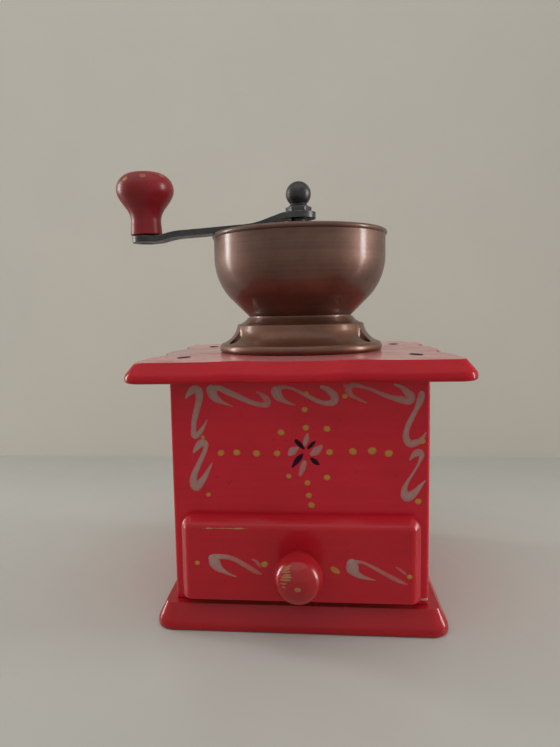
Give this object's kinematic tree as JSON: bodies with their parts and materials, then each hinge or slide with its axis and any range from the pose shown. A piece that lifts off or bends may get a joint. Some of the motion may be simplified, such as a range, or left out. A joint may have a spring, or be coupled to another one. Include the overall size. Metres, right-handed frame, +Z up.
{
  "type": "coffee mill",
  "caption": "Hand-cranked box coffee mill: open bowl hopper, bent crank arm with a turned knob, conical burr set on a spindle and a drawer for the grounds.",
  "frame": {"origin": "centre of the underside of the base board, on the spindle axis", "axes": "+Z up along the spindle, the drawer faces -Y, the crank points along -X at rest"},
  "size_m": [0.2023, 0.1933, 0.2569],
  "materials": {
    "red_paint": "gloss painted",
    "bare_wood": "bare",
    "copper": "aged copper, satin",
    "black_iron": "blackened satin",
    "steel": "dull steel"
  },
  "bodies": {
    "mill_body": {"base_board": "red_paint", "left_wall": "red_paint", "right_wall": "red_paint", "back_wall": "red_paint", "front_panel": "red_paint", "top_board": "red_paint", "top_dowels": "bare_wood", "base_screws": "steel", "hopper_collar": "copper", "collar_screws": "black_iron", "hopper_bowl": "copper", "burr_ring": "black_iron", "burr_screws": "steel", "bridge": "steel", "lower_strap": "steel", "lower_strap_screws": "steel"},
    "keyed_washer": {"thrust_washer": "steel"},
    "grinding_spindle": {"spindle": "steel", "inner_burr": "black_iron", "crank_arm": "black_iron", "ball_nut": "black_iron", "handle_pin": "steel", "knob_washer": "steel"},
    "grind_setting": {"setting_nut": "steel"},
    "crank_handle": {"handle_knob": "red_paint"},
    "drawer": {"drawer_front": "red_paint", "drawer_left_side": "bare_wood", "drawer_right_side": "bare_wood", "drawer_back": "bare_wood", "drawer_floor_board": "bare_wood", "drawer_knob": "red_paint", "drawer_knob_screw": "steel"}
  },
  "joints": [
    {"name": "crank_turn", "type": "hinge", "parent": "mill_body", "child": "keyed_washer", "pos_m": [0, 0, 0.1987], "axis": [0, 0, 1], "continuous": true},
    {"name": "burr_lift", "type": "slide", "parent": "keyed_washer", "child": "grinding_spindle", "axis": [0, 0, 1], "range_m": [0, 0.001]},
    {"name": "nut_turn", "type": "hinge", "parent": "keyed_washer", "child": "grind_setting", "pos_m": [0, 0, 0.2026], "axis": [0, 0, -1], "range_deg": [0, 360]},
    {"name": "knob_spin", "type": "hinge", "parent": "grinding_spindle", "child": "crank_handle", "pos_m": [-0.096, 0, 0.2379], "axis": [0, 0, 1], "continuous": true},
    {"name": "drawer_slide", "type": "slide", "parent": "mill_body", "child": "drawer", "axis": [0, -1, 0], "range_m": [0, 0.095]}
  ],
  "couplings": [
    {"joint": "nut_turn", "follows": "burr_lift", "rad_per_m": 6283}
  ]
}
